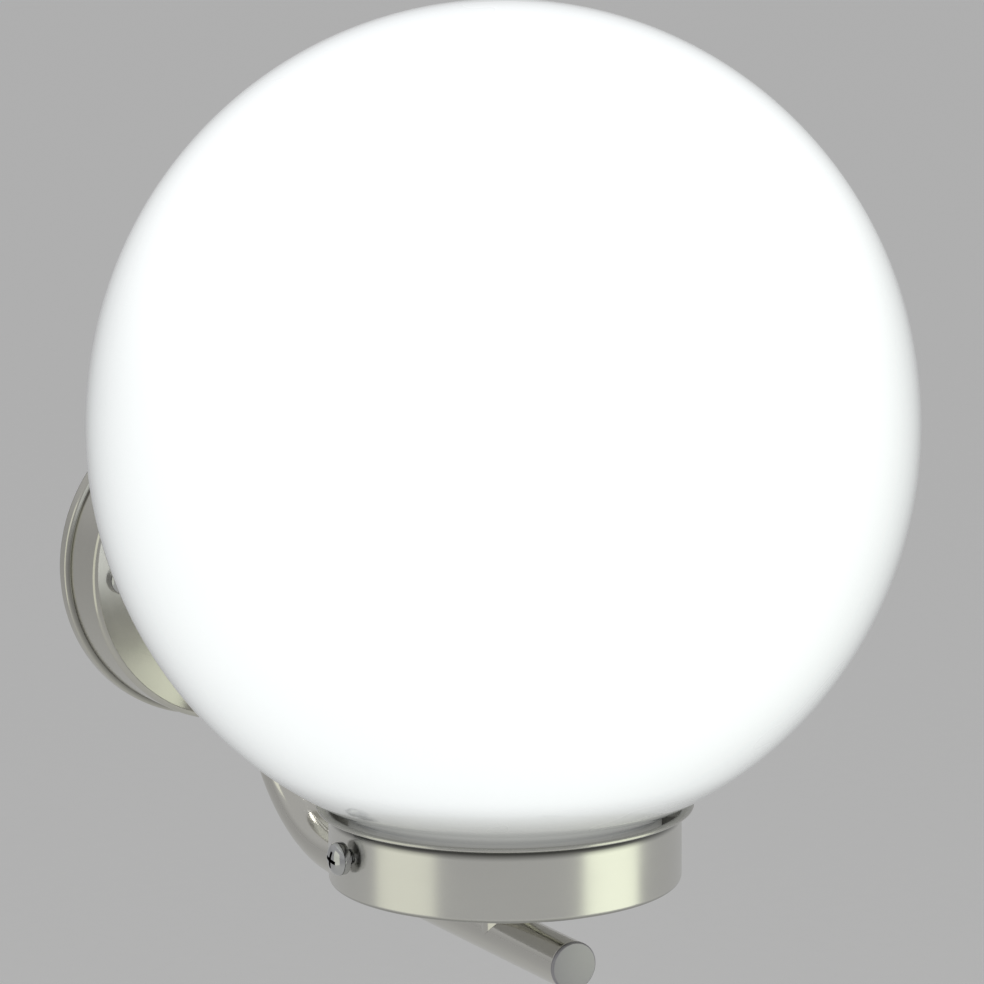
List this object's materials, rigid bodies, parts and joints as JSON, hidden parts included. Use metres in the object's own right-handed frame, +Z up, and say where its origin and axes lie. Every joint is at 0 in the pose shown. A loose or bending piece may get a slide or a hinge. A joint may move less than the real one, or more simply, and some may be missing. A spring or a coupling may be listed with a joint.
{
  "type": "outdoor wall light",
  "caption": "Outdoor wall light with a large opal glass globe on a flared steel cup, carried by a bent tube from a round wall rose.",
  "frame": {"origin": "centre of the wall strap's two fixing holes, on the wall's face", "axes": "+Z up, the light stands out from the wall towards -Y, +X to the right seen from the front"},
  "size_m": [0.2, 0.265, 0.2339],
  "materials": {
    "stainless": "satin",
    "polished_tube": "semi-polished",
    "end_steel": "turned",
    "screw_steel": "bright",
    "zinc_steel": "zinc plated",
    "opal_glass": "gloss opal",
    "rubber": "matt",
    "foam": "matt foam",
    "white_plastic": "matt",
    "black_plastic": "semi-gloss",
    "ceramic": "glazed",
    "brass": "bright",
    "tinned_copper": "tinned",
    "nickel": "rolled",
    "black_glass": "gloss",
    "solder": "dull",
    "lamp_white": "matt",
    "board": "matt",
    "lamp_opal": "satin opal",
    "wire_brown": "satin",
    "wire_blue": "satin",
    "wire_green": "satin"
  },
  "bodies": {
    "bracket": {"rose_cover": "stainless", "gallery": "stainless", "arm_tube": "polished_tube", "arm_end_cap": "end_steel", "post": "stainless", "rose_screws": "screw_steel", "gallery_nuts": "zinc_steel", "globe_gasket": "rubber", "rose_gasket": "foam", "inlet_grommet": "rubber", "tube_bush": "white_plastic", "nipple": "brass", "nipple_washer": "zinc_steel", "nipple_nut": "brass", "arm_collar": "zinc_steel", "wall_strap": "zinc_steel", "strap_pillars": "zinc_steel", "earth_screw": "screw_steel", "earth_lug": "tinned_copper", "terminal_block": "white_plastic", "terminal_screws": "zinc_steel", "lampholder_cap": "black_plastic", "lampholder_body": "black_plastic", "contact_carrier": "ceramic", "screw_shell": "brass", "centre_contact": "brass", "side_contact": "brass", "holder_screws": "brass", "live_wire": "wire_brown", "neutral_wire": "wire_blue", "earth_wire": "wire_green"},
    "globe": {"globe_top": "opal_glass", "globe_bottom": "opal_glass", "globe_neck": "opal_glass"},
    "screw_left": {"globe_screw_left": "screw_steel"},
    "screw_right": {"globe_screw_right": "screw_steel"},
    "lamp": {"lamp_cap": "nickel", "lamp_insulator": "black_glass", "lamp_tip": "solder", "lamp_housing": "lamp_white", "lamp_board": "board", "lamp_diffuser": "lamp_opal"}
  },
  "joints": [
    {"name": "globe_lift", "type": "slide", "parent": "bracket", "child": "globe", "axis": [0, 0, 1], "range_m": [0, 0.14]},
    {"name": "screw_left_out", "type": "slide", "parent": "bracket", "child": "screw_left", "axis": [-1, 0, 0], "range_m": [0, 0.004]},
    {"name": "screw_right_out", "type": "slide", "parent": "bracket", "child": "screw_right", "axis": [1, 0, 0], "range_m": [0, 0.004]},
    {"name": "lamp_unscrew", "type": "slide", "parent": "bracket", "child": "lamp", "axis": [0, 0, 1], "range_m": [0, 0.028]}
  ]
}
